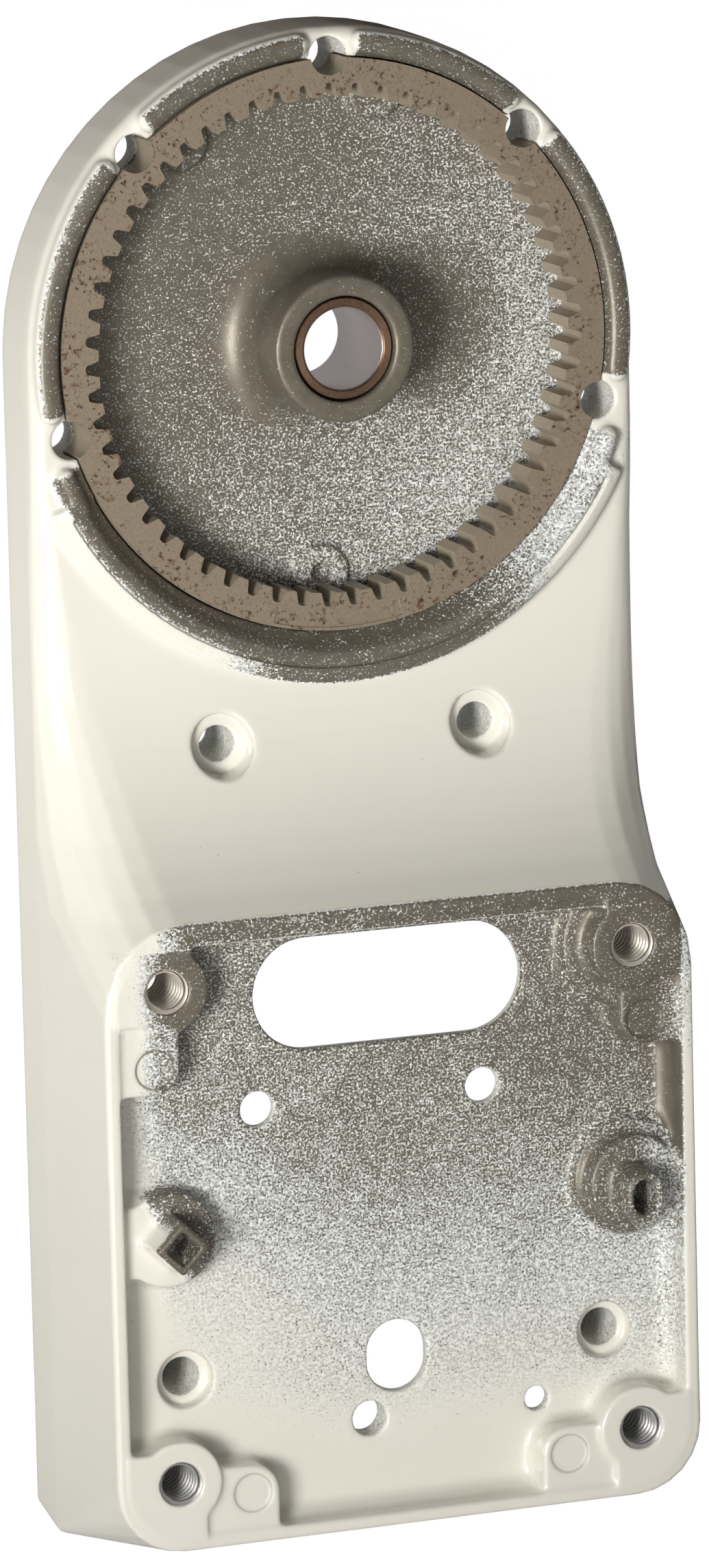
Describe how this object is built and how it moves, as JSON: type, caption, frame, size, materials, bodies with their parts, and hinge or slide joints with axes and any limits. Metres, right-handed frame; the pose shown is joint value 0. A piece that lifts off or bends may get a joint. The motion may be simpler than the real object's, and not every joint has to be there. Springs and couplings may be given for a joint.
{
  "type": "stand mixer lower gearcase",
  "caption": "Die-cast lower housing of a bowl-lift stand mixer with a fixed internal ring gear, a bushed shaft hub and a screwed seat for the support column.",
  "frame": {"origin": "on the shaft axis, halfway along the bush", "axes": "+Z along the shaft axis, out of the working side; +Y towards the round front end; +X to the right seen with +Y up from the working side"},
  "size_m": [0.1186, 0.2776, 0.0523],
  "materials": {
    "casting": "glossy off-white paint outside, bare die casting with overspray on the working side",
    "gear": "matt sintered steel",
    "bush": "turned bronze"
  },
  "bodies": {
    "root": {"lower_gearcase": "casting", "ring_gear": "gear", "shaft_bush": "bush"}
  },
  "joints": []
}
